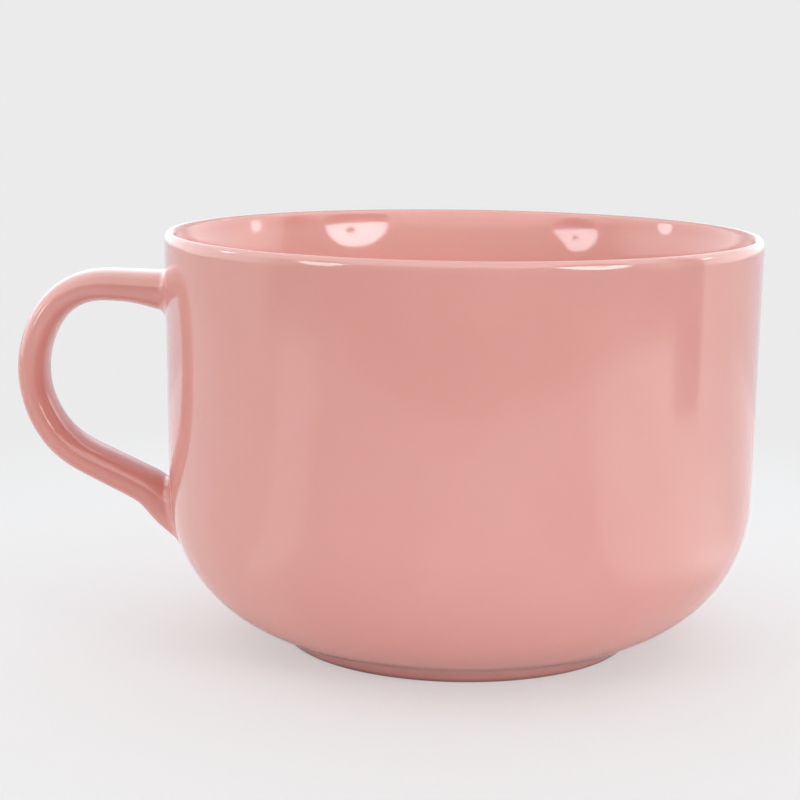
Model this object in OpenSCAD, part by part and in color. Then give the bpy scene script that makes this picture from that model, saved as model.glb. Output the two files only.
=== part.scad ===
// Soup mug: a deep round bowl on a low foot ring, with one strap handle.
// The origin is at the centre of the foot, on the table. Z is up and the handle points along -X.

/* [Bowl] */
// Outer diameter at the rim
rim_d = 120; // [105:1:135]
// Height of the lip above the table
mug_h = 83.4; // [80:0.2:95]
// Thickness of the wall
wall_t = 3.4; // [2.8:0.1:4.4]
// How much the radius narrows from the rim down to the round
wall_draft = 0.7; // [0.3:0.1:2]
// Outer radius of the round between the wall and the floor
round_r = 28.5; // [24:0.5:31]
// Thickness of the floor
floor_t = 4.2; // [3.4:0.1:6]

/* [Foot ring] */
// Outer diameter of the foot ring
foot_d = 71.6; // [70:0.2:80]
// Width of the foot ring's section
foot_w = 4; // [3:0.1:4.4]
// Height from the table to the underside of the floor
foot_h = 2.4; // [1.6:0.1:4]
// Chamfer on the edges of the standing face
foot_edge = 1.1; // [0.5:0.1:1.4]

/* [Handle route] */
// Height of the strap's centreline at the upper end
upper_z = 71.2; // [66:0.2:73]
// Rise of the upper straight towards the bend, in degrees
upper_tilt = 2; // [0:0.5:5]
// Length of the upper straight, from the wall
upper_run = 12.6; // [10:0.2:16]
// Radius of the centreline at the upper bend
bend_r = 13.2; // [11:0.2:16]
// Turn of the upper bend, in degrees
bend_turn = 58; // [50:1:70]
// Radius of the centreline down the back
back_r = 21; // [18:0.5:26]
// Turn down the back, in degrees
back_turn = 70; // [62:1:76]
// Radius of the centreline at the lower bend
low_r = 18; // [15:0.5:20]
// Turn of the lower bend, in degrees
low_turn = 28; // [24:1:32]
// Length of the lower straight
low_run = 12.6; // [10:0.2:14]
// Radius of the tail, where the strap turns down the wall
tail_r = 8; // [6:0.5:12]
// Turn of the tail, in degrees
tail_turn = 39; // [32:1:42]
// Radius of the toe, where the tail turns back into the wall
toe_r = 5; // [4:0.5:8]
// Turn of the toe, in degrees
toe_turn = 21; // [16:1:28]

/* [Handle section] */
// Width of the strap, across the handle
strap_w = 13; // [10:0.5:18]
// Width that the strap gains where it meets the wall
strap_flare_w = 1.5; // [0:0.25:4]
// Thickness of the strap at the back, where it is thinnest
strap_t = 5.9; // [5:0.1:8]
// Thickness of the strap at its upper end
strap_upper_t = 6.8; // [6:0.1:8]
// Thickness of the strap at its lower end
strap_low_t = 7.5; // [6:0.1:8]
// How far the upper end thickens into the finger gap at the wall
upper_flare = 1.8; // [1:0.1:3]
// How far the lower end thickens into the finger gap at the wall
low_flare = 4; // [1:0.1:4.5]
// How much the tail thins on its outer side
tail_thin = 1.5; // [0.6:0.1:2]
// Squareness of the oval section: 2 is an ellipse
section_power = 2.4; // [2:0.1:3]

/* [Joints] */
// Thickness of the slip between the handle and the wall
slip_t = 0.4; // [0.3:0.05:0.6]
// Radius of the smoothed fillet of slip round each end of the handle
fillet_r = 2; // [1.4:0.1:2.5]
// Thickness of the fillet's thin edge on the strap
fillet_edge = 0.3; // [0.2:0.05:0.4]

/* [Hidden] */
$fn = 96;
glaze_pink = [0.86, 0.65, 0.60];
slip_pink = [0.80, 0.56, 0.50];

rim_r = rim_d / 2;
lip_r = wall_t / 2;
foot_r = foot_d / 2;
// How far a cut runs past the solid that it cuts
overrun = wall_t;
// How far a straight line starts inside the round that it touches, so that the two cross cleanly
lap_share = 0.0002;

// The bowl's two rounds and the round lip, as centres in [radius, height]
lip_at = [rim_r - lip_r, mug_h - lip_r];
round_at = [rim_r - wall_draft - round_r, foot_h + round_r];
hollow_r = round_r - wall_t;
hollow_at = [round_at[0], foot_h + floor_t + hollow_r];

// Slope in degrees of the straight line that touches circle c1 of radius r1 and then circle c2 of radius r2.
// A negative r2 means that the line passes on that circle's inner side.
function lean(c1, r1, c2, r2) = acos((r1 - r2) / norm(c2 - c1)) - atan2(c2[1] - c1[1], c2[0] - c1[0]);
outer_lean = lean(round_at, round_r, lip_at, lip_r);
inner_lean = lean(hollow_at, hollow_r, lip_at, -lip_r);
// Point of a circle where a line of that slope touches it
function touch(c, r, slope) = c + r * [cos(slope), -sin(slope)];

// Half the bowl's outline, filled
module bowl_outline() {
    polygon([
        [0, foot_h],
        [round_at[0], foot_h],
        touch(round_at, round_r * (1 - lap_share), outer_lean),
        touch(lip_at, lip_r * (1 - lap_share), outer_lean),
        lip_at,
        [0, lip_at[1]]
    ]);
    intersection() {
        translate(round_at) circle(round_r);
        translate([round_at[0], 0]) square([rim_r, mug_h]);
    }
    translate(lip_at) rotate(-outer_lean) circle(lip_r);
}

// The hollow's straight side, from its round to the lip, and where that line comes out above the rim
hollow_side = [
    touch(hollow_at, hollow_r * (1 - lap_share), inner_lean),
    touch(lip_at, -lip_r * (1 - lap_share), inner_lean)
];
function along(line, z) =
    line[0] + (line[1] - line[0]) * (z - line[0][1]) / (line[1][1] - line[0][1]);

// Half the hollow inside the bowl, open at the top
module hollow_outline() {
    polygon([
        [0, foot_h + floor_t],
        [hollow_at[0], foot_h + floor_t],
        hollow_side[0],
        along(hollow_side, mug_h + overrun),
        [0, mug_h + overrun]
    ]);
    intersection() {
        translate(hollow_at) circle(hollow_r);
        translate([hollow_at[0], 0]) square([rim_r, mug_h]);
    }
}

module bowl() {
    color(glaze_pink)
    rotate_extrude()
    difference() {
        bowl_outline();
        hollow_outline();
    }
}

module foot_ring() {
    color(glaze_pink)
    rotate_extrude()
    difference() {
        polygon([
            [foot_r - foot_w, foot_edge],
            [foot_r - foot_w + foot_edge, 0],
            [foot_r - foot_edge, 0],
            [foot_r, foot_edge],
            [foot_r, foot_h + foot_w],
            [foot_r - foot_w, foot_h + foot_w]
        ]);
        bowl_outline();
    }
}

// Radius of the bowl's outer surface at height z
wall_foot = touch(round_at, round_r, outer_lean);
function wall_radius(z) =
    z > wall_foot[1]
        ? wall_foot[0] + (z - wall_foot[1]) * tan(outer_lean)
        : round_at[0] + sqrt(max(0, pow(round_r, 2) - pow(z - round_at[1], 2)));

// The handle's centreline, as headings in degrees over the distance along it.
// Both its ends lie inside the wall, and the strap is trimmed where its sides meet the wall.
buried = wall_t;
function arc_length(r, turn) = r * turn * PI / 180;
route_runs = [
    buried + upper_run,
    arc_length(bend_r, bend_turn),
    arc_length(back_r, back_turn),
    arc_length(low_r, low_turn),
    low_run,
    arc_length(tail_r, tail_turn),
    arc_length(toe_r, toe_turn),
    3 * buried
];
route_turns = [0, -bend_turn, -back_turn, -low_turn, 0, tail_turn, -toe_turn, 0];
function sum_to(list, n) = n < 1 ? 0 : list[n - 1] + sum_to(list, n - 1);
route_table = [
    for (i = [0 : len(route_runs)])
        [sum_to(route_runs, i), upper_tilt + sum_to(route_turns, i)]
];
route_length = sum_to(route_runs, len(route_runs));
route_steps = 180;
step_length = route_length / route_steps;

// The heading eases from one bend to the next over about the strap's thickness
ease_shares = [-0.4, -0.3, -0.2, -0.1, 0, 0.1, 0.2, 0.3, 0.4];
function heading(s) =
    sum_to([for (e = ease_shares) lookup(s + e * strap_t, route_table)], len(ease_shares))
        / len(ease_shares);
route = [
    for (
        i = 0, p = [rim_r - buried, upper_z];
        i <= route_steps;
        p = p + step_length * [cos(heading((i + 0.5) * step_length)), sin(heading((i + 0.5) * step_length))],
        i = i + 1
    ) p
];
route_radii = [for (i = [0 : route_steps]) [i * step_length, route[i][0]]];
route_heights = [for (i = [0 : route_steps]) [i * step_length, route[i][1]]];
function centre(s) = [lookup(s, route_radii), lookup(s, route_heights)];

// How far each end's flare reaches along the strap, and how it dies away
upper_flare_run = 5 * upper_flare;
low_flare_run = 4 * low_flare;
function ease(t) = t <= 0 ? 0 : t >= 1 ? 1 : t * t * (3 - 2 * t);
function upper_fade(s) = 1 - ease(s / (buried + upper_flare_run));
function low_fade(s) = 1 - ease((route_length - s) / (buried + low_flare_run));

// Half thicknesses on the outer side and on the finger gap's side, and half the width, at distance s
function half_t(s) =
    lookup(s / route_length, [[0, strap_upper_t], [0.5, strap_t], [1, strap_low_t]]) / 2;
function half_out(s) = half_t(s) - tail_thin * low_fade(s);
function half_in(s) = half_t(s) + upper_flare * upper_fade(s) + low_flare * low_fade(s);
function half_w(s) = (strap_w + strap_flare_w * (upper_fade(s) + low_fade(s))) / 2;

// Point at angle a of the strap's oval section at distance s, grown outwards by grow
strap_sides = 32;
function bulge(v) = sign(v) * pow(abs(v), 2 / section_power);
function skin(s, a, grow = 0) =
    let (
        off = bulge(sin(a)) * (grow + (sin(a) > 0 ? half_out(s) : half_in(s))),
        h = heading(s),
        at = centre(s) + off * [-sin(h), cos(h)]
    )
    [-at[0], bulge(cos(a)) * (half_w(s) + grow), at[1]];

// Distance along the strap at which the line at angle a leaves the wall grown by grow.
// It halves the stretch from inside, where the line is in the wall, to outside.
function proud(p) = norm([p[0], p[1]]) - wall_radius(p[2]);
function leave(inside, outside, a, grow, turns = 20) =
    let (mid = (inside + outside) / 2)
    turns == 0 ? mid
        : proud(skin(mid, a)) < grow ? leave(mid, outside, a, grow, turns - 1)
        : leave(inside, mid, a, grow, turns - 1);
side_angles = [for (j = [0 : strap_sides - 1]) 360 * j / strap_sides];
halfway = route_length / 2;

// A point moved level along its radius until it stands grow proud of the wall
function seat(p, grow) =
    let (k = (wall_radius(p[2]) + grow) / norm([p[0], p[1]]))
    [p[0] * k, p[1] * k, p[2]];

// The middle of a ring of points, and the rings between it and the ring, all seated grow proud of the wall
face_shares = [0.25, 0.5, 0.75];
function mean(points) = [for (k = [0 : 2]) sum_to([for (p = points) p[k]], len(points)) / len(points)];
function middle(edge, grow) = seat(mean(edge), grow);
function face_rings(edge, grow) = [
    for (k = face_shares) [for (p = edge) seat(middle(edge, grow) * (1 - k) + p * k, grow)]
];
function reverse(list) = [for (i = [len(list) - 1 : -1 : 0]) list[i]];

// A closed solid through rings of equal count, with each end closed by a fan to its middle point.
// Seen along the way from the first ring to the last, each ring runs anticlockwise.
module loft(first_middle, rings, last_middle) {
    n = len(rings[0]);
    m = len(rings);
    points = concat([for (r = rings) each r], [first_middle, last_middle]);
    bands = [
        for (i = [0 : m - 2], j = [0 : n - 1])
            let (k = (j + 1) % n, a = i * n, b = a + n)
            each [[a + j, b + k, b + j], [a + j, a + k, b + k]]
    ];
    first_fan = [for (j = [0 : n - 1]) [m * n, (j + 1) % n, j]];
    last_fan = [for (j = [0 : n - 1]) [m * n + 1, (m - 1) * n + j, (m - 1) * n + (j + 1) % n]];
    polyhedron(points, concat(bands, first_fan, last_fan), convexity = 6);
}

// Distances along the strap where each side line leaves the slip, and where it leaves the fillet
function upper_leaves(grow) = [for (a = side_angles) leave(0, halfway, a, grow)];
function low_leaves(grow) = [for (a = side_angles) leave(route_length, halfway, a, grow)];
function ring_at(distances, grow = 0) =
    [for (j = [0 : strap_sides - 1]) skin(distances[j], side_angles[j], grow)];
upper_end = ring_at(upper_leaves(slip_t));
low_end = ring_at(low_leaves(slip_t));

// Rings along the free strap: they start and end askew, along the fillets, and are square to it between
strap_rings = 48;
upper_start = upper_leaves(fillet_r);
low_start = low_leaves(fillet_r);
upper_mean = sum_to(upper_start, strap_sides) / strap_sides;
low_mean = sum_to(low_start, strap_sides) / strap_sides;
skew_share = 0.22;
function strap_distances(t) = [
    for (j = [0 : strap_sides - 1])
        upper_mean + (low_mean - upper_mean) * t
            + (upper_start[j] - upper_mean) * (1 - ease(t / skew_share))
            + (low_start[j] - low_mean) * (1 - ease((1 - t) / skew_share))
];

module handle() {
    color(glaze_pink)
    loft(
        middle(upper_end, slip_t),
        concat(
            face_rings(upper_end, slip_t),
            [upper_end],
            [for (i = [0 : strap_rings]) ring_at(strap_distances(i / strap_rings))],
            [low_end],
            reverse(face_rings(low_end, slip_t))
        ),
        middle(low_end, slip_t)
    );
}

// The hollow curve of a fillet as pairs of [how proud of the wall, how far out from the strap]
fillet_steps = 5;
fillet_curve = [
    for (i = [0 : fillet_steps])
        let (turn = 90 * i / fillet_steps)
        [fillet_r * (1 - sin(turn)), fillet_edge + fillet_r * (1 - cos(turn))]
];

// The slip under an end of the handle and the fillet round it. end is the handle's last ring,
// start the distances where the fillet begins, and leaves gives the distances for a height over the wall.
module slip_joint(end, start, curve_rings, turned) {
    foot = curve_rings[fillet_steps];
    rings = concat(
        face_rings(end, slip_t),
        [end, ring_at(start)],
        curve_rings,
        reverse(face_rings(foot, 0))
    );
    loft(middle(end, slip_t), turned ? [for (r = rings) reverse(r)] : rings, middle(foot, 0));
}

function seated(ring, grow) = [for (p = ring) seat(p, grow)];

module upper_joint() {
    color(slip_pink)
    slip_joint(
        upper_end,
        upper_start,
        [for (c = fillet_curve) seated(ring_at(upper_leaves(c[0]), c[1]), c[0])],
        true
    );
}

module lower_joint() {
    color(slip_pink)
    slip_joint(
        low_end,
        low_start,
        [for (c = fillet_curve) seated(ring_at(low_leaves(c[0]), c[1]), c[0])],
        false
    );
}

bowl();
foot_ring();
handle();
upper_joint();
lower_joint();
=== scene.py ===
"""Soup mug: the glazed bowl, its foot ring, the strap handle and the two filleted joints that hold it.

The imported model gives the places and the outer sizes. The surfaces here are worked out with numpy as
functions of two parameters, in metres: +Z is up, the origin is at the centre of the foot on the table,
and the handle reaches out along -X.
"""
import math

import bpy
import numpy as np
from mathutils import Matrix, Vector


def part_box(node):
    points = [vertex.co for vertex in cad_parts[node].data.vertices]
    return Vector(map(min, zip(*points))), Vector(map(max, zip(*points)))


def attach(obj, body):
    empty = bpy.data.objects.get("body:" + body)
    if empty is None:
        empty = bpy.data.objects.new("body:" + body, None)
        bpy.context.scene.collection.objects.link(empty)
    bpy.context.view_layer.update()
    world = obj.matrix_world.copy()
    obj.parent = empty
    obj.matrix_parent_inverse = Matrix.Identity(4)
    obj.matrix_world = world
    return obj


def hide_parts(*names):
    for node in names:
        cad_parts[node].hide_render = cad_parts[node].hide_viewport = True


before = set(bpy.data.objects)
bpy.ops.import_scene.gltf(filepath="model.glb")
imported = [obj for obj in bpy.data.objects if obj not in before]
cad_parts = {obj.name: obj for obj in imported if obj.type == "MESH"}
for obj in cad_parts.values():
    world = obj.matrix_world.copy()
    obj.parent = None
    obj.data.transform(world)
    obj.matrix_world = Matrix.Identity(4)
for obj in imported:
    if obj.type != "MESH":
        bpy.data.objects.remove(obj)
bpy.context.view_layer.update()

MM = 0.001

# Sizes of the bowl and the foot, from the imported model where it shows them
bowl_low, bowl_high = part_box("bowl")
foot_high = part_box("foot_ring")[1]
rim_r = bowl_high[0]
mug_h = bowl_high[2]
foot_h = bowl_low[2]
foot_r = foot_high[0]
wall_t = 3.4 * MM
wall_draft = 0.7 * MM
round_r = 28.5 * MM
floor_t = 4.2 * MM
foot_w = 4 * MM
foot_round = 1.2 * MM
foot_inner_round = foot_round * 0.7
foot_fillet = 16.0 * MM
# Half the wall, which is the solids' lip radius
lip_r = wall_t / 2
# The lip's crest lies this far in from the outer surface, over an outer curve this high
crest_in = 0.9 * MM
crest_drop = 2.3 * MM
# Inside, the wall opens out over flare_run until it leans flare_lean degrees, and a small round ends it
flare_run = 12.0 * MM
flare_lean = 16.5
inner_lip_r = 1.25 * MM

# The handle's route: runs and turns from the upper end to the lower one
upper_z = 71.2 * MM
upper_tilt = 2
upper_run = 12.6 * MM
bend_r, bend_turn = 13.2 * MM, 58
back_r, back_turn = 21 * MM, 70
low_r, low_turn = 18 * MM, 28
low_run = 12.6 * MM
tail_r, tail_turn = 8 * MM, 39
toe_r, toe_turn = 5 * MM, 21
buried = wall_t

# The strap's section
strap_w = 13 * MM
strap_flare_w = 1.5 * MM
strap_t = 5.9 * MM
strap_upper_t = 6.8 * MM
strap_low_t = 7.5 * MM
upper_flare = 1.8 * MM
low_flare = 4 * MM
upper_flare_run = 5 * upper_flare
low_flare_run = 4 * low_flare
tail_thin = 1.5 * MM
section_power = 2.4

# The smoothed slip round each end: a hollow curve that leaves the strap at a soft crease
fillet_r = 2.6 * MM
crease_turn = 27


# Meshes

def mesh_piece(name, points, faces, material, normals=None):
    """A smooth piece from points and faces and, where given, one normal for each corner of the faces."""
    mesh = bpy.data.meshes.new(name)
    mesh.from_pydata(points.tolist(), [], faces)
    mesh.shade_smooth()
    if normals is not None:
        mesh.normals_split_custom_set(normals.tolist())
    mesh.update()
    piece = bpy.data.objects.new(name, mesh)
    bpy.context.scene.collection.objects.link(piece)
    mesh.materials.append(material)
    return piece


def arc(centre, radius, start, end, count):
    """Points on a circle from the angle start to end, in degrees from +r towards +z."""
    turn = np.radians(np.linspace(start, end, count))
    return np.stack([centre[0] + radius * np.cos(turn), centre[1] + radius * np.sin(turn)], -1)


def line(start, end, count):
    """Evenly spaced points from start to end."""
    share = np.linspace(0, 1, count)[:, None]
    return np.asarray(start) * (1 - share) + np.asarray(end) * share


def joined(*stretches):
    """One outline from stretches that each start where the one before ends."""
    kept = [stretch[1:] for stretch in stretches[1:]]
    return np.concatenate([stretches[0], *kept])


def lathe_closed(outline, segments):
    """Points and faces of an outline turned about Z. It starts and ends on the axis, and each is one point.

    The ring for outline point i has the points (r cos t, r sin t, z) over segments steps of t. Faces point
    outwards when the outline has the solid on its right hand.
    """
    turn = np.linspace(0, 2 * np.pi, segments, endpoint=False)
    body = outline[1:-1]
    rings = np.stack([
        body[:, 0, None] * np.cos(turn),
        body[:, 0, None] * np.sin(turn),
        np.broadcast_to(body[:, 1, None], (len(body), segments)),
    ], -1).reshape(-1, 3)
    ends = np.array([[0, 0, outline[0, 1]], [0, 0, outline[-1, 1]]])
    points = np.concatenate([rings, ends])
    first, last = len(rings), len(rings) + 1
    column = np.arange(segments)
    beside = (column + 1) % segments
    quads = grid_faces(len(body), segments)
    top = np.stack([np.full(segments, first), column, beside], -1)
    base = (len(body) - 1) * segments
    bottom = np.stack([np.full(segments, last), base + beside, base + column], -1)
    return points, quads + top.tolist() + bottom.tolist()


def lathe_ring(outline, segments):
    """Points and faces of a closed outline, off the axis, turned about Z."""
    turn = np.linspace(0, 2 * np.pi, segments, endpoint=False)
    points = np.stack([
        outline[:, 0, None] * np.cos(turn),
        outline[:, 0, None] * np.sin(turn),
        np.broadcast_to(outline[:, 1, None], (len(outline), segments)),
    ], -1).reshape(-1, 3)
    return points, grid_faces(len(outline), segments, closed=True)


def grid_faces(rows, columns, closed=False):
    """Quads between neighbouring rows of points, each row a closed ring.

    closed joins the last row to the first.
    """
    row = np.arange(rows if closed else rows - 1)[:, None]
    column = np.arange(columns)[None, :]
    here = row * columns + column
    beside = row * columns + (column + 1) % columns
    step = (row + 1) % rows * columns
    below = step + column
    diagonal = step + (column + 1) % columns
    return np.stack([here, below, diagonal, beside], -1).reshape(-1, 4).tolist()


# The bowl's profile

lip_at = np.array([rim_r - lip_r, mug_h - lip_r])
round_at = np.array([rim_r - wall_draft - round_r, foot_h + round_r])
hollow_r = round_r - wall_t
hollow_at = np.array([round_at[0], foot_h + floor_t + hollow_r])


def lean(first, first_r, second, second_r):
    """Slope in degrees of the straight line that touches two circles on the side away from the axis."""
    across = second - first
    slope = math.acos((first_r - second_r) / np.hypot(*across)) - math.atan2(across[1], across[0])
    return math.degrees(slope)


outer_lean = lean(round_at, round_r, lip_at, lip_r)


def touch(centre, radius, slope):
    """Point of a circle where a line of that slope touches it."""
    return centre + radius * np.array([math.cos(math.radians(slope)), -math.sin(math.radians(slope))])


wall_foot = touch(round_at, round_r, outer_lean)


def wall_radius(z):
    """Radius of the bowl's outer surface at height z: a leaning straight over a round."""
    straight = wall_foot[0] + (z - wall_foot[1]) * math.tan(math.radians(outer_lean))
    below = round_at[0] + np.sqrt(np.maximum(0, round_r ** 2 - (z - round_at[1]) ** 2))
    return np.where(z > wall_foot[1], straight, below)


def bowl_outline():
    """The bowl's section: from the floor's middle up the inside, over the lip and down to the middle below.

    The floor dips a little to its middle, and the underside rises a little to its own. The inside's last
    stretch opens out along a parabola, x = flare_run tan(flare_lean) t^2 / 2 at height flare_run t, then a
    small round meets the crest. Outside, the crest falls away as a quarter of an ellipse.
    """
    dip = 0.35 * MM
    floor_z = foot_h + floor_t
    out = np.linspace(0, 1, 32)
    floor = np.stack([hollow_at[0] * out, floor_z - dip * (1 - out ** 2) ** 2], -1)
    hollow = arc(hollow_at, hollow_r, -90, 0, 56)

    crest_r = rim_r - crest_in
    inner_at = np.array([crest_r, mug_h - inner_lip_r])
    lip_inside = arc(inner_at, inner_lip_r, 180 - flare_lean, 90, 16)
    opened = flare_run * math.tan(math.radians(flare_lean)) / 2
    t = np.linspace(0, 1, 36)
    flare = lip_inside[0] + np.stack([opened * (t ** 2 - 1), flare_run * (t - 1)], -1)
    side = line(hollow[-1], flare[0], 24)

    turn = np.radians(np.linspace(90, 0, 20))
    lip_outside = np.stack([
        crest_r + crest_in * np.cos(turn),
        mug_h - crest_drop + crest_drop * np.sin(turn),
    ], -1)
    wall = line(lip_outside[-1], wall_foot, 48)
    low_round = arc(round_at, round_r, -outer_lean, -90, 72)
    under = np.stack([round_at[0] * (1 - out), foot_h + dip * (1 - (1 - out) ** 2) ** 2], -1)
    return joined(floor, hollow, side, flare, lip_inside, lip_outside, wall, low_round, under)


turned_segments = 256
bowl_points, bowl_faces = lathe_closed(bowl_outline(), turned_segments)


# The foot ring's profiles

def foot_outline():
    """The glazed foot's closed section. A hollow curve joins its outer edge to the bowl's round.

    The curve's circle, of radius foot_fillet, touches the round edge and the bowl's round from outside both,
    so it meets each on the line to that one's centre. Past its touch on the bowl the section runs on just
    inside the bowl, so that the shading runs on too. The glaze ends on both lower edges, a little above the
    table, and the section closes inside the clay.
    """
    edge_at = np.array([foot_r - foot_round, foot_round])
    apart = np.hypot(*(edge_at - round_at))
    way = (edge_at - round_at) / apart
    to_round, to_edge = round_r + foot_fillet, foot_round + foot_fillet
    along = (to_round ** 2 - to_edge ** 2 + apart ** 2) / (2 * apart)
    aside = math.sqrt(to_round ** 2 - along ** 2)
    curve_at = round_at + along * way + aside * np.array([-way[1], way[0]])
    first, last = [math.degrees(math.atan2(*(place - curve_at)[::-1])) for place in (round_at, edge_at)]
    curve = arc(curve_at, foot_fillet, first, last, 24)
    sunk_depth, sunk_from, sunk_to = 0.02 * MM, 4, 0.4
    touch_turn = first - 180
    sunk = arc(round_at, round_r - sunk_depth, touch_turn + sunk_from, touch_turn + sunk_to, 5)
    curve = np.concatenate([sunk, curve])
    glaze_end = 58
    outer_edge = arc(edge_at, foot_round, last - 180, -glaze_end, 12)
    inner_r = foot_r - foot_w
    inner_at = [inner_r + foot_inner_round, foot_inner_round]
    inner_edge = arc(inner_at, foot_inner_round, glaze_end - 180, -180, 10)
    ceiling = foot_round * 0.8
    inside = np.array([
        outer_edge[-1],
        [foot_r - foot_round, ceiling],
        [inner_r + foot_round, ceiling],
        inner_edge[0],
    ])
    hidden = foot_h + foot_w * 0.4
    inner_side = line(inner_edge[-1], [inner_r, hidden], 6)
    back = np.array([inner_side[-1], [foot_r - foot_round, hidden + foot_round], curve[0]])[:-1]
    return joined(curve, outer_edge, inside, inner_edge, inner_side, back)


def clay_outline():
    """The bare clay's closed section: a flat standing face between two rounds, inside the foot's glaze."""
    skin_t = 0.14 * MM
    outer_round, inner_round = foot_round - skin_t, foot_inner_round - skin_t
    outer_r, inner_r = foot_r - skin_t, foot_r - foot_w + skin_t
    outer_edge = arc([outer_r - outer_round, outer_round], outer_round, 0, -90, 14)
    inner_edge = arc([inner_r + inner_round, inner_round], inner_round, -90, -180, 10)
    standing = line(outer_edge[-1], inner_edge[0], 8)
    top = line(inner_edge[-1], outer_edge[0], 6)[:-1]
    return joined(outer_edge, standing, inner_edge, top)


foot_points, foot_faces = lathe_ring(foot_outline(), turned_segments)
clay_points, clay_faces = lathe_ring(clay_outline(), turned_segments)


# The handle's surface

runs = np.array([
    buried + upper_run,
    bend_r * math.radians(bend_turn),
    back_r * math.radians(back_turn),
    low_r * math.radians(low_turn),
    low_run,
    tail_r * math.radians(tail_turn),
    toe_r * math.radians(toe_turn),
    3 * buried,
])
turns = np.array([0, -bend_turn, -back_turn, -low_turn, 0, tail_turn, -toe_turn, 0])
knot_s = np.concatenate([[0], np.cumsum(runs)])
knot_heading = upper_tilt + np.concatenate([[0], np.cumsum(turns)])
route_length = knot_s[-1]
ease_shares = np.linspace(-0.4, 0.4, 9)


def heading(s):
    """The route's heading in radians at distance s, eased over about the strap's thickness at each change."""
    spread = s[..., None] + ease_shares * strap_t
    return np.radians(np.interp(spread, knot_s, knot_heading).mean(-1))


route_s = np.linspace(0, route_length, 1441)
step = route_s[1] - route_s[0]
mid_heading = heading(route_s[:-1] + step / 2)
route_r = rim_r - buried + np.concatenate([[0], np.cumsum(step * np.cos(mid_heading))])
route_z = upper_z + np.concatenate([[0], np.cumsum(step * np.sin(mid_heading))])


def ease(t):
    """0 up to t = 0, 1 from t = 1 on, and a smooth cubic between."""
    t = np.clip(t, 0, 1)
    return t * t * (3 - 2 * t)


def upper_fade(s):
    return 1 - ease(s / (buried + upper_flare_run))


def low_fade(s):
    return 1 - ease((route_length - s) / (buried + low_flare_run))


def skin(s, a, grow=0.0):
    """Point at angle a of the strap's oval section at distance s, grown outwards by grow.

    The section is a superellipse of section_power. Its half thickness differs between the outer side and the
    finger gap's side, where both ends flare, and it stands square to the route.
    """
    half = np.interp(s / route_length, [0, 0.5, 1], [strap_upper_t, strap_t, strap_low_t]) / 2
    half_out = half - tail_thin * low_fade(s)
    half_in = half + upper_flare * upper_fade(s) + low_flare * low_fade(s)
    half_w = (strap_w + strap_flare_w * (upper_fade(s) + low_fade(s))) / 2
    up, side = np.sin(a), np.cos(a)
    off = np.sign(up) * np.abs(up) ** (2 / section_power) * (grow + np.where(up > 0, half_out, half_in))
    wide = np.sign(side) * np.abs(side) ** (2 / section_power) * (half_w + grow)
    h = heading(s)
    reach = np.interp(s, route_s, route_r) - off * np.sin(h)
    return np.stack([-reach, wide, np.interp(s, route_s, route_z) + off * np.cos(h)], -1)


def leave(inside, a, proud, grow):
    """Distance along the strap at which the line at angle a comes out proud of the wall, by halving."""
    near = np.full(a.shape, inside)
    far = np.full(a.shape, route_length / 2)
    for _ in range(34):
        middle = (near + far) / 2
        point = skin(middle, a, grow)
        buried_here = np.hypot(point[..., 0], point[..., 1]) - wall_radius(point[..., 2]) < proud
        near = np.where(buried_here, middle, near)
        far = np.where(buried_here, far, middle)
    return near


def seated(points, proud):
    """The points moved level along their radius until they stand proud of the wall."""
    share = (wall_radius(points[..., 2]) + proud) / np.hypot(points[..., 0], points[..., 1])
    return points * np.stack([share, share, np.ones_like(share)], -1)


strap_sides = 96
side_angles = np.linspace(0, 2 * np.pi, strap_sides, endpoint=False)
fillet_rows = 14
strap_rows = 150
# The fillet's radius round the section: smaller on the strap's outer side, where it was wiped thin
fillet_round = fillet_r * (1 - 0.55 * np.maximum(0, np.sin(side_angles)) ** 2)
crease = math.radians(crease_turn)
crease_proud = fillet_round * (1 - math.sin(crease))


def fillet_rings(inside):
    """Rings of a fillet, from the crease on the strap to the wall, which it touches, and a dip into the wall.

    With R the fillet's radius, at turn t the ring stands R (1 - sin t) proud of the wall and
    R (cos crease - cos t) off the strap, with t from the crease's turn to a quarter turn.
    """
    rings = []
    for t in np.linspace(crease, np.pi / 2, fillet_rows):
        proud = fillet_round * (1 - math.sin(t))
        grow = fillet_round * (math.cos(crease) - math.cos(t))
        ring = skin(leave(inside, side_angles, proud, grow), side_angles, grow)
        rings.append(seated(ring, proud))
    dip = 0.3 * MM
    grow = fillet_round * math.cos(crease) + dip
    ring = skin(leave(inside, side_angles, 0.0, grow), side_angles, grow)
    rings.append(seated(ring, -dip))
    return np.array(rings)


def strap_rings():
    """Rings along the free strap, askew along the fillets at both ends and square to the strap between."""
    start = leave(0.0, side_angles, crease_proud, 0.0)
    end = leave(route_length, side_angles, crease_proud, 0.0)
    skew = 0.22
    rings = []
    for t in np.linspace(0, 1, strap_rows):
        s = start.mean() + (end.mean() - start.mean()) * t
        s = s + (start - start.mean()) * (1 - ease(t / skew))
        s = s + (end - end.mean()) * (1 - ease((1 - t) / skew))
        rings.append(skin(s, side_angles))
    return np.array(rings)


upper_rings = fillet_rings(0.0)[::-1]
free_rings = strap_rings()
low_rings = fillet_rings(route_length)


def grid_normals(grid):
    """Unit normals of a grid of closed rings, from the differences to the neighbouring points both ways."""
    along = np.gradient(grid, axis=0)
    around = np.roll(grid, -1, axis=1) - np.roll(grid, 1, axis=1)
    return unit(np.cross(along, around))


def unit(vectors):
    return vectors / np.maximum(np.linalg.norm(vectors, axis=-1, keepdims=True), 1e-20)


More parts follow.
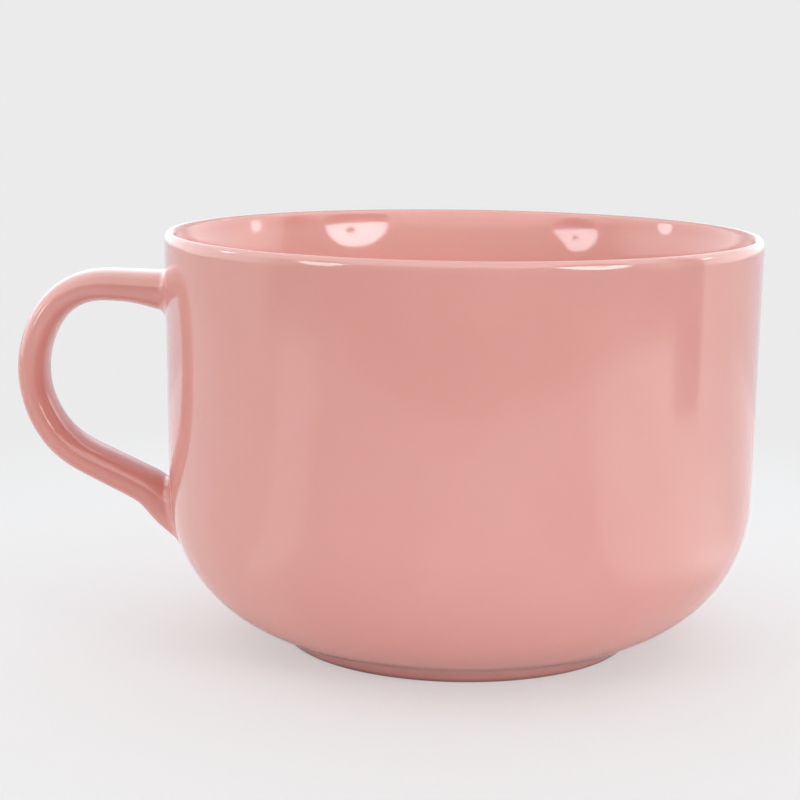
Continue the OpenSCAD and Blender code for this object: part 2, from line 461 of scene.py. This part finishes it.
# Where two pieces meet, both take the mean of their normals, as the glaze rounds the crease
upper_normals, free_normals, low_normals = map(grid_normals, (upper_rings, free_rings, low_rings))
upper_normals[-1] = free_normals[0] = unit(upper_normals[-1] + free_normals[0])
low_normals[0] = free_normals[-1] = unit(low_normals[0] + free_normals[-1])


def capped(name, rings, normals, material):
    """A closed piece through rings of points, shaded by their normals, with both ends closed by fans."""
    rows, count = rings.shape[:2]
    points = np.concatenate([rings.reshape(-1, 3), rings[:1].mean(1), rings[-1:].mean(1)])
    quads = grid_faces(rows, count)
    column = np.arange(count)
    beside = (column + 1) % count
    base = (rows - 1) * count
    first_fan = np.stack([np.full(count, rows * count), column, beside], -1)
    last_fan = np.stack([np.full(count, rows * count + 1), base + beside, base + column], -1)
    fans = np.concatenate([first_fan, last_fan])
    side_corners = normals.reshape(-1, 3)[np.array(quads).reshape(-1)]
    flat = unit(np.cross(points[fans[:, 1]] - points[fans[:, 0]], points[fans[:, 2]] - points[fans[:, 0]]))
    corners = np.concatenate([side_corners, np.repeat(flat, 3, axis=0)])
    return mesh_piece(name, points, quads + fans.tolist(), material, corners)


# Materials

class Socket:
    """A shader socket with its maths: each operator adds a Math node to the socket's tree."""

    def __init__(self, tree, socket):
        self.tree = tree
        self.socket = socket

    def maths(self, operation, other=None, swap=False):
        parts = [self, other]
        if swap:
            parts.reverse()
        values = {i: part for i, part in enumerate(parts) if part is not None}
        return self.tree.add("ShaderNodeMath", {"operation": operation}, values)

    def size(self):
        return self.maths("ABSOLUTE")

    def __add__(self, other):
        return self.maths("ADD", other)

    def __mul__(self, other):
        return self.maths("MULTIPLY", other)

    def __sub__(self, other):
        return self.maths("SUBTRACT", other)

    def __rsub__(self, other):
        return self.maths("SUBTRACT", other, swap=True)

    def __truediv__(self, other):
        return self.maths("DIVIDE", other)

    def __pow__(self, other):
        return self.maths("POWER", other)

    __radd__ = __add__
    __rmul__ = __mul__


class Tree:
    """A node tree under construction. add() makes any node and gives back one of its outputs."""

    def __init__(self, owner):
        owner.use_nodes = True
        self.nodes = owner.node_tree.nodes
        self.links = owner.node_tree.links
        self.nodes.clear()

    def add(self, kind, settings=None, values=None, output=0):
        node = self.nodes.new(kind)
        for name, value in (settings or {}).items():
            setattr(node, name, value)
        for key, value in (values or {}).items():
            self.feed(node.inputs[key], value)
        return Socket(self, node.outputs[output]) if node.outputs else node

    def feed(self, entry, value):
        if isinstance(value, Socket):
            self.links.new(value.socket, entry)
        else:
            entry.default_value = value

    def mix(self, share, first, second):
        """A colour between first and second."""
        values = {"Factor": share, 6: first, 7: second}
        return self.add("ShaderNodeMix", {"data_type": "RGBA"}, values, output=2)

    def band(self, value, low, high):
        """0 below low, 1 above high and a smooth step between."""
        values = {"Value": value, "From Min": low, "From Max": high}
        return self.add("ShaderNodeMapRange", {"interpolation_type": "SMOOTHSTEP"}, values)

    def axes(self, vector):
        """The X, Y and Z parts of a vector."""
        return [self.add("ShaderNodeSeparateXYZ", values={"Vector": vector}, output=axis) for axis in "XYZ"]

    def noise(self, place, scale, detail):
        """Noise with about scale waves to the metre."""
        return self.add("ShaderNodeTexNoise", values={"Vector": place, "Scale": scale, "Detail": detail})

    def emission(self, colour, strength):
        return self.add("ShaderNodeEmission", values={"Color": colour, "Strength": strength})

    def between(self, share, first, second):
        """A shader between first and second."""
        return self.add("ShaderNodeMixShader", values={0: share, 1: first, 2: second})

    def is_ray(self, kind):
        """1 for rays of the kind that the Light Path node names, and 0 for the rest."""
        return self.add("ShaderNodeLightPath", output=f"Is {kind} Ray")


def linear(red, green, blue):
    """A colour given in 0 to 255 screen values, as linear values with alpha."""
    screen = np.array([red, green, blue]) / 255
    light = np.where(screen <= 0.04045, screen / 12.92, ((screen + 0.055) / 1.055) ** 2.4)
    return (*light.tolist(), 1.0)


def new_tree(name):
    material = bpy.data.materials.new(name)
    return material, Tree(material)


def finish_material(tree, shader):
    tree.add("ShaderNodeOutputMaterial", values={"Surface": shader})


pink = linear(218, 154, 144)
# Deeper pink for the painted shade on the low strap
pink_strap_shade = linear(204, 130, 119)
# Paler pink: the glaze's own pale clouds, and on the lip partly a painted highlight
pink_pale_and_sheen = linear(226, 173, 162)
# Paler pink that paints light onto the bowl's inner side
pink_inside_painted_light = linear(222, 168, 158)
# Dark pink for the painted contact shadow along the foot's lowest edge
pink_edge_shadow = linear(158, 92, 84)
# How much each shows: pale clouds, the pale lip (thin glaze plus painted highlight), painted strap shade,
# painted foot shadow
cloud_share, lip_sheen_share, strap_shade_share, edge_shadow_share = 0.18, 0.35, 0.5, 0.8
# The painted shade on the low strap starts just inside the wall and is full outside it, and comes on down
# these heights
strap_shade_from_x, strap_shade_full_x = 2 * MM - rim_r, -rim_r - 4 * MM
strap_shade_from_z, strap_shade_full_z = 64 * MM, 44 * MM
# The painted contact shadow on the foot's lower edge comes on down these heights
edge_shadow_from_z, edge_shadow_full_z = 1.4 * MM, 0.2 * MM


def inside_share(tree, across, along, height):
    """1 on the bowl's inner side and 0 on its outer side, by the distance from the middle of its wall.

    The distance is sqrt(past^2 + under^2), where past is how far out and under how far down a place lies from
    the centre of the bowl's round, and neither is less than 0.
    """
    out = (across ** 2 + along ** 2) ** 0.5
    past = (out - round_at[0]).maths("MAXIMUM", 0.0)
    under = (round_at[1] - height).maths("MAXIMUM", 0.0)
    return tree.band((past ** 2 + under ** 2) ** 0.5, round_r - wall_t * 0.4, round_r - wall_t * 0.7)


def glaze_material():
    """Opaque pink glaze, a little cloudy. The lip is paler, partly thin glaze and partly a painted highlight;
    painted light makes the inside paler, painted shade darkens the low handle and a painted shadow the foot's
    edge.
    """
    material, tree = new_tree("pink_glaze")
    place = tree.add("ShaderNodeTexCoord", output="Object")
    across, along, height = tree.axes(place)
    cloud = tree.noise(place, scale=38.0, detail=3.0)
    colour = tree.mix(tree.band(cloud, 0.35, 0.75) * cloud_share, pink, pink_pale_and_sheen)
    # The lip's paler band: partly glaze thinning over the edge, partly a painted highlight
    lip = tree.band(height, mug_h - crest_drop, mug_h - crest_drop * 0.4)
    colour = tree.mix(lip * lip_sheen_share, colour, pink_pale_and_sheen)
    low_strap_shade = tree.band(across, strap_shade_from_x, strap_shade_full_x) * tree.band(height, strap_shade_from_z, strap_shade_full_z)
    # Painted shade: the low strap's face is darkened towards the deeper pink
    colour = tree.mix(low_strap_shade * strap_shade_share, colour, pink_strap_shade)
    # Painted light: the bowl's inner side is made paler, as if more lit
    colour = tree.mix(inside_share(tree, across, along, height), colour, pink_inside_painted_light)
    # Painted shadow: the foot's lowest edge darkens where it meets the table
    colour = tree.mix(tree.band(height, edge_shadow_from_z, edge_shadow_full_z) * edge_shadow_share, colour, pink_edge_shadow)
    wave = tree.noise(place, scale=26.0, detail=1.0)
    peel = tree.noise(place, scale=420.0, detail=1.0)
    peel_share = 0.03
    surface = {"Height": wave + peel * peel_share, "Distance": 0.4 * MM, "Strength": 0.25}
    shader = tree.add("ShaderNodeBsdfPrincipled", values={
        "Base Color": colour,
        "Roughness": 0.07 + tree.band(cloud, 0.3, 0.7) * 0.04,
        "IOR": 1.5,
        "Normal": tree.add("ShaderNodeBump", values=surface),
    })
    finish_material(tree, shader)
    return material


def bare_clay_material():
    """Unglazed fired clay on the standing face: matt, warm and finely grained, with a few darker specks."""
    material, tree = new_tree("bare_clay")
    place = tree.add("ShaderNodeTexCoord", output="Object")
    grain = tree.noise(place, scale=1500.0, detail=4.0)
    specks = tree.noise(place, scale=900.0, detail=0.0)
    colour = tree.mix(grain, linear(196, 168, 150), linear(222, 202, 186))
    colour = tree.mix(tree.band(specks, 0.7, 0.78), colour, linear(150, 118, 98))
    surface = {"Height": grain, "Distance": 0.15 * MM, "Strength": 0.5}
    shader = tree.add("ShaderNodeBsdfPrincipled", values={
        "Base Color": colour,
        "Roughness": 0.85,
        "Normal": tree.add("ShaderNodeBump", values=surface),
    })
    finish_material(tree, shader)
    return material


glaze = glaze_material()
clay = bare_clay_material()

# The pieces

bowl = mesh_piece("bowl_glazed", bowl_points, bowl_faces, material=glaze)
foot = mesh_piece("foot_ring_glazed", foot_points, foot_faces, material=glaze)
standing_band = mesh_piece("foot_standing_band", clay_points, clay_faces, material=clay)
handle = capped("handle_strap", free_rings, free_normals, glaze)
upper = capped("upper_joint_fillet", upper_rings, upper_normals, glaze)
lower = capped("lower_joint_fillet", low_rings, low_normals, glaze)
for piece, node, slot in (
    (bowl, "bowl", "glaze"),
    (foot, "foot_ring", "glaze"),
    (standing_band, "foot_ring", "bare_clay"),
    (handle, "handle", "glaze"),
    (upper, "upper_joint", "glaze"),
    (lower, "lower_joint", "glaze"),
):
    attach(piece, "root")
    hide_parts(node)

# The camera, at the photograph's viewing angle

camera_at = Vector((0, -403.7 * MM, 118.2 * MM))
pitch, roll, yaw = math.radians(9.76), math.radians(0.64), math.radians(-1.76)
camera_data = bpy.data.cameras.new("camera")
camera_data.lens = 90
camera_data.sensor_width = 36
camera = bpy.data.objects.new("camera", camera_data)
bpy.context.scene.collection.objects.link(camera)
forward = Vector((math.sin(yaw) * math.cos(pitch), math.cos(yaw) * math.cos(pitch), -math.sin(pitch)))
level = Vector((math.cos(yaw), -math.sin(yaw), 0))
upward = level.cross(forward)
right = math.cos(roll) * level + math.sin(roll) * upward
upward = right.cross(forward)
turned = Matrix((right, upward, -forward)).transposed().to_4x4()
camera.matrix_world = Matrix.Translation(camera_at) @ turned
bpy.context.scene.camera = camera

# The studio: matt table and lamps for the light, and what the gloss shows of the room

mug_middle = Vector((0, 0, mug_h / 2))
backdrop_white = linear(235, 235, 235)
cool_white = (0.94, 1.0, 1.06, 1.0)
# How bright the room is: for soft light, and where the glaze mirrors its front, its sides and its ceiling
soft_level, dark_level, side_level, ceiling_level = 0.8, 0.3, 2.4, 2.8
# The ceiling begins at this rise of the view, as a share of its length, and is full at the second
ceiling_from, ceiling_full = 0.30, 0.44
# How bright the glaze shows the backdrop and the table in front of it
back_level = 0.87


def grey(level):
    return (level, level, level, 1.0)


def at_direction(azimuth, elevation, distance):
    """A point in a direction, in degrees, from the mug's middle."""
    a, e = math.radians(azimuth), math.radians(elevation)
    way = Vector((math.cos(e) * math.cos(a), math.cos(e) * math.sin(a), math.sin(e)))
    return mug_middle + distance * way


def azimuth_of(x, y):
    """The direction of (x, y) in degrees from +X towards +Y, from -180 to 180."""
    return y.maths("ARCTAN2", x) * (180 / math.pi)


def sector(tree, azimuth, start, full, still, end):
    """1 from the azimuth full to still, 0 before start and after end, and a smooth step between."""
    return tree.band(azimuth, start, full) * tree.band(azimuth, end, still)


def hidden_stage(piece):
    """Stage that the camera doesn't see, though it lights the mug and shows in its gloss."""
    piece.visible_camera = False
    return piece


# In shares of an umbrella's radius: its soft rim, the lamp head's spot from dark to clear, a side's soft edge
soft_rim, head_dark_r, head_r, soft_side = 0.1, 0.1, 0.17, 0.06


def umbrella(name, azimuth, elevation, distance, across, radiance, head=(0, 0), cuts=()):
    """A round white umbrella lit from its front, where the lamp's head is a dark spot.

    head is the spot's place and each cut an angle in degrees and a distance, as shares of the radius. Past
    that distance along that angle, a straight side hides the disc.
    """
    material, tree = new_tree(name + "_light")
    radius = across / 2
    x, y, _ = [part * (1 / radius) for part in tree.axes(tree.add("ShaderNodeTexCoord", output="Object"))]
    out = (x ** 2 + y ** 2) ** 0.5
    from_head = ((x - head[0]) ** 2 + (y - head[1]) ** 2) ** 0.5
    share = tree.band(out, 1.0, 1 - soft_rim) * tree.band(from_head, head_dark_r, head_r)
    for turn, limit in cuts:
        side = x * math.cos(math.radians(turn)) + y * math.sin(math.radians(turn))
        share = share * tree.band(side, limit + soft_side, limit)
    finish_material(tree, tree.emission(cool_white, share * radiance))
    turn = np.linspace(0, 2 * np.pi, 48, endpoint=False)
    rim = np.stack([radius * np.cos(turn), radius * np.sin(turn), np.zeros(48)], -1)
    disc = mesh_piece(name, rim, [list(range(48))], material)
    place = at_direction(azimuth, elevation, distance)
    toward = (mug_middle - place).to_track_quat("Z", "Y")
    disc.matrix_world = Matrix.Translation(place) @ toward.to_matrix().to_4x4()
    return hidden_stage(disc)


def downward_beam(height, spread, power):
    """A narrow beam, spread degrees wide, from straight above into the mug."""
    lamp = bpy.data.lights.new("beam", "SPOT")
    lamp.spot_size = math.radians(spread)
    lamp.spot_blend = 0.3
    lamp.energy = power
    holder = bpy.data.objects.new("beam", lamp)
    holder.location = (0, 0, height)
    holder.visible_glossy = False
    bpy.context.scene.collection.objects.link(holder)


# A card's ends: away from its middle and above the mug, each from where they start to where they are full
ends_from_x, ends_full_x = 0.03, 0.11
ends_from_z, ends_full_z = 0.06, 0.09


def card(name, corner, along, up, soft, mirrored, ends):
    """A flat upright card: soft is how bright it is as a light, mirrored how bright the glaze shows it.

    Above the mug's height its ends, away from the middle, show as bright as ends says.
    """
    material, tree = new_tree(name + "_face")
    x, _, z = tree.axes(tree.add("ShaderNodeTexCoord", output="Object"))
    at_ends = tree.band(x.size(), ends_from_x, ends_full_x) * tree.band(z, ends_from_z, ends_full_z)
    shown = at_ends * (ends - mirrored) + mirrored
    strength = tree.is_ray("Glossy") * (shown - soft) + soft
    finish_material(tree, tree.emission(cool_white, strength))
    corner, along, up = map(np.array, (corner, along, up))
    points = np.array([corner, corner + along, corner + along + up, corner + up])
    return hidden_stage(mesh_piece(name, points, [[0, 1, 2, 3]], material))


# The table's outline in the gloss: a superellipse, its middle in front of the mug's, turned a little
table_half_x, table_half_y, table_power = 0.47, 0.285, 2.7
table_forward, table_turn = 0.04, math.radians(5)
table_white, past_table = grey(0.92), grey(0.1)
# How bright the lamps' shine on the table shows in the gloss, and from where to where it comes on
right_sheen, left_sheen = 0.9, 0.5
sheen_from, sheen_full = 0.07, 0.1
# The camera sees half of the table's shadow this near the middle and none this far out
shadow_r, clear_r = 0.1, 0.26


def floor_material():
    """The white table. The camera sees it as the backdrop's white, but for the soft shadow under the mug.

    The glaze mirrors it, in front as far as its rounded edge and the dark room past that. It shows brighter
    in two sectors round the mug, where the lamps shine on it, and as bright as the backdrop behind the mug.
    """
    material, tree = new_tree("white_table")
    x, y, _ = tree.axes(tree.add("ShaderNodeTexCoord", output="Object"))
    out = (x ** 2 + y ** 2) ** 0.5
    turn_x, turn_y = math.cos(table_turn), math.sin(table_turn)
    across = (x * turn_x + y * turn_y).size() / table_half_x
    deep = (y * turn_x - x * turn_y + table_forward).size() / table_half_y
    outline = across ** table_power + deep ** table_power
    azimuth = azimuth_of(x, y)
    beyond = tree.band(outline, 0.95, 1.05) * sector(tree, azimuth, -168, -155, -4, 4)
    behind = sector(tree, azimuth, 45, 62, 118, 135)
    right = tree.band(azimuth, -47, -41) * (1 - tree.band(azimuth, -8, 24) * 0.95)
    left = sector(tree, azimuth, -158, -154, -143, -139)
    sheen = (right * right_sheen + left * left_sheen) * tree.band(out, sheen_from, sheen_full)

    matt = tree.add("ShaderNodeBsdfDiffuse", values={"Color": tree.mix(beyond, table_white, past_table)})
    lit = tree.add("ShaderNodeAddShader", values={0: matt, 1: tree.emission(grey(1.0), sheen)})
    mirrored = tree.between(behind, lit, tree.emission(grey(1.0), back_level))
    mirrored = tree.between(beyond, mirrored, tree.emission(grey(1.0), dark_level))
    shader = tree.between(tree.is_ray("Glossy"), matt, mirrored)
    whitened = tree.band(out, shadow_r, clear_r) * 0.5 + 0.5
    shader = tree.between(tree.is_ray("Camera") * whitened, shader, tree.emission(backdrop_white, 1.0))
    finish_material(tree, shader)
    return material


def floor():
    """A flat round table top with the mug at its centre, wide enough for every view."""
    radius = 1.5
    turn = np.linspace(0, 2 * np.pi, 96, endpoint=False)
    rim = np.stack([radius * np.cos(turn), radius * np.sin(turn), np.zeros(96)], -1)
    return mesh_piece("table", rim, [list(range(96))], floor_material())


def room():
    """The room: the backdrop's white for the camera and an even grey as light.

    The gloss shows it dark in front, bright at the sides and under a brighter ceiling.
    """
    world = bpy.data.worlds.new("room")
    bpy.context.scene.world = world
    tree = Tree(world)
    x, y, rise = tree.axes(tree.add("ShaderNodeTexCoord", output="Generated"))
    front = sector(tree, azimuth_of(x, y), -178, -150, -22, 8)
    walls = tree.mix(front, grey(side_level), grey(dark_level))
    mirrored = tree.mix(tree.band(rise, ceiling_from, ceiling_full), walls, grey(ceiling_level))
    light = tree.mix(tree.is_ray("Glossy"), grey(soft_level), mirrored)
    colour = tree.mix(tree.is_ray("Camera"), light, backdrop_white)
    background = tree.add("ShaderNodeBackground", values={"Color": colour, "Strength": 1.0})
    tree.add("ShaderNodeOutputWorld", values={"Surface": background})


floor()
umbrella(
    "umbrella_right", azimuth=-40, elevation=22.2, distance=1.3, across=0.66, radiance=10.8,
    head=(-0.16, -0.2), cuts=[(98, 0.08)],
)
umbrella(
    "umbrella_left", azimuth=-141.7, elevation=18.1, distance=1.3, across=0.5, radiance=8.5,
    head=(0, -0.17), cuts=[(90, 0.28), (207, 0.64)],
)
umbrella("side_right", azimuth=13, elevation=17.6, distance=1.1, across=0.12, radiance=9)
umbrella("side_left", azimuth=170.7, elevation=20.5, distance=1.1, across=0.16, radiance=9)
downward_beam(height=1.4, spread=4.6, power=60)
card(
    "backdrop", corner=(-0.4, 0.243, 0), along=(0.8, 0, 0), up=(0, 0, 0.45),
    soft=1.35, mirrored=back_level, ends=2.3,
)
card(
    "dark_stand", corner=(0.32, -0.062, 0), along=(0, 0.074, 0), up=(0, 0, 0.3),
    soft=0.25, mirrored=0.25, ends=0.25,
)
room()

bpy.context.scene.view_settings.view_transform = "Standard"
